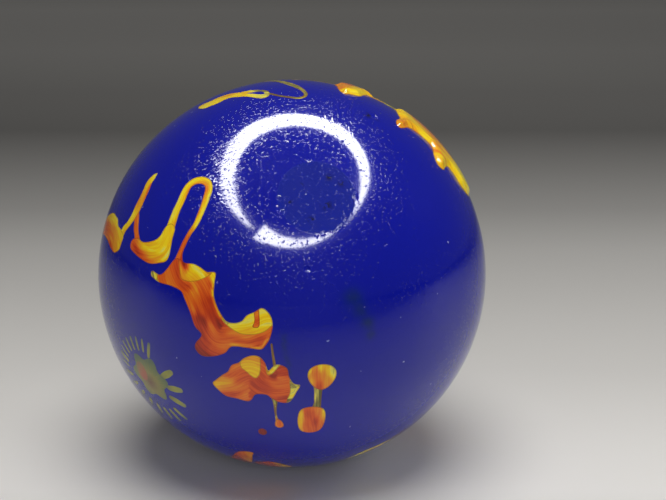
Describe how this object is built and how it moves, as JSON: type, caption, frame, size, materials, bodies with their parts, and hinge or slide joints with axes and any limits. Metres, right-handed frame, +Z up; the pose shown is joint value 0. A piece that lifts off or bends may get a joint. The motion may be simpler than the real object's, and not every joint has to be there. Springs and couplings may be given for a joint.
{
  "type": "art glass marble",
  "caption": "Solid cobalt blue glass marble with yellow, orange and red glass melted flush into its skin as trails, flakes, drops and flower slices, and a ground pontil flat.",
  "frame": {"origin": "the middle of the ball", "axes": "+Z up as the ball is displayed, -Y the front with the tall flake and the string of drops, +X to the right as the front is seen"},
  "size_m": [0.042, 0.042, 0.042],
  "materials": {
    "cobalt_glass": "fire-polished deep cobalt glass, near opaque, with fine handling marks",
    "yellow_glass": "opaque yellow glass, polished flush",
    "orange_glass": "opaque streaky orange glass, polished flush",
    "red_glass": "opaque brick red glass, polished flush",
    "olive_glass": "opaque olive yellow glass where the colour thins, polished flush"
  },
  "bodies": {
    "root": {"ball": "cobalt_glass", "left_blob": "orange_glass", "left_blob_cap": "yellow_glass", "left_thread": "yellow_glass", "left_leg": "orange_glass", "trough": "yellow_glass", "trough_rim": "red_glass", "arch": "yellow_glass", "tall_flake": "orange_glass", "tall_crest": "yellow_glass", "tall_toe": "yellow_glass", "tall_fold": "red_glass", "tall_heel": "red_glass", "tall_tail": "olive_glass", "centre_flake": "orange_glass", "centre_crest": "yellow_glass", "centre_notch": "yellow_glass", "centre_spot": "yellow_glass", "centre_tip": "olive_glass", "centre_drip": "olive_glass", "centre_thread": "olive_glass", "red_dot": "red_glass", "upper_drop": "yellow_glass", "upper_drop_heart": "orange_glass", "drop_stem": "olive_glass", "lower_drop": "orange_glass", "crown_trail": "yellow_glass", "crown_loop": "olive_glass", "ridge_thread": "olive_glass", "crown_flake": "yellow_glass", "crown_flake_head": "orange_glass", "crown_threads": "olive_glass", "shoulder_trail": "yellow_glass", "shoulder_knob": "orange_glass", "shoulder_tail": "olive_glass", "foot_flake": "orange_glass", "foot_lip": "red_glass", "foot_trail": "olive_glass", "front_flower_heart": "red_glass", "front_flower_petals": "olive_glass", "front_flower_rays": "yellow_glass", "side_flower_heart": "red_glass", "side_flower_petals": "olive_glass", "side_flower_rays": "yellow_glass", "rear_flower_heart": "red_glass", "rear_flower_petals": "olive_glass", "rear_flower_rays": "yellow_glass", "rear_flake": "orange_glass", "rear_flake_crest": "yellow_glass", "rear_wave": "yellow_glass", "rear_hook": "orange_glass", "under_flake": "orange_glass", "under_trail": "yellow_glass"}
  },
  "joints": []
}
